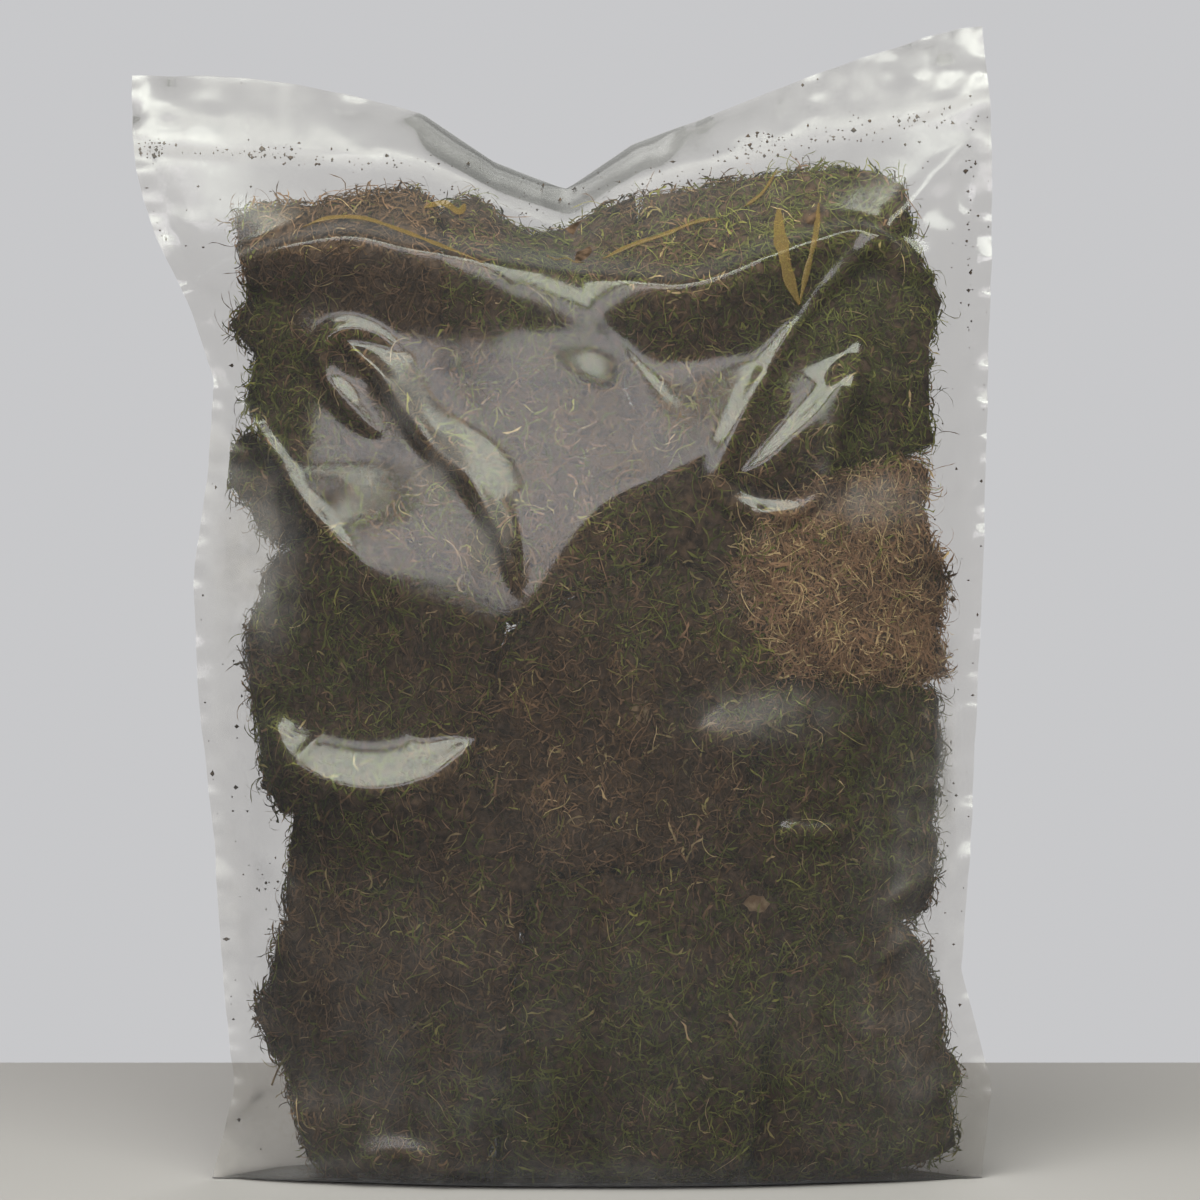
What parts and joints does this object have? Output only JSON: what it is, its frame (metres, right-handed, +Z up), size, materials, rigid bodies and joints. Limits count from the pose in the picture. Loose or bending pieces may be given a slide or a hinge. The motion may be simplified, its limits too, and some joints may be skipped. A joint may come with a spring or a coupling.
{
  "type": "clear bag of moss clumps",
  "caption": "Clear film bag standing upright on its flat base, welded at both sides, sealed near its wavy top, and packed full with torn clumps of moss.",
  "frame": {"origin": "under the middle of the bag's box, on the surface that the bag stands on", "axes": "+Z up the bag, the longest side of its box; +Y from the front film to the back film, the shortest side; +X to the right, seen from the front"},
  "size_m": [0.283, 0.0709, 0.3785],
  "materials": {
    "film": "clear glossy plastic film",
    "moss_green": "matte, fine curled shoots",
    "moss_brown": "matte, dry fine shoots",
    "moss_tan": "matte, dried and matted shoots",
    "litter": "dull, dry"
  },
  "bodies": {
    "root": {"bag_front_film": "film", "bag_back_film": "film", "moss_pad_top_left": "moss_brown", "moss_pad_top_middle": "moss_green", "moss_pad_top_right": "moss_green", "moss_pad_centre_upper": "moss_green", "moss_clump_tan": "moss_tan", "moss_pad_left_pocket": "moss_brown", "moss_pad_left": "moss_green", "moss_pad_centre": "moss_brown", "moss_pad_right": "moss_green", "moss_pad_bottom_left": "moss_brown", "moss_pad_bottom_middle": "moss_green", "moss_pad_bottom_right": "moss_green", "moss_pad_back_upper_left": "moss_brown", "moss_pad_back_upper_right": "moss_green", "moss_pad_back_lower_left": "moss_green", "moss_pad_back_lower_right": "moss_brown", "straw_stem": "litter", "grass_blade": "litter", "twig": "litter", "leaf_flake": "litter", "bark_chip": "litter"}
  },
  "joints": []
}
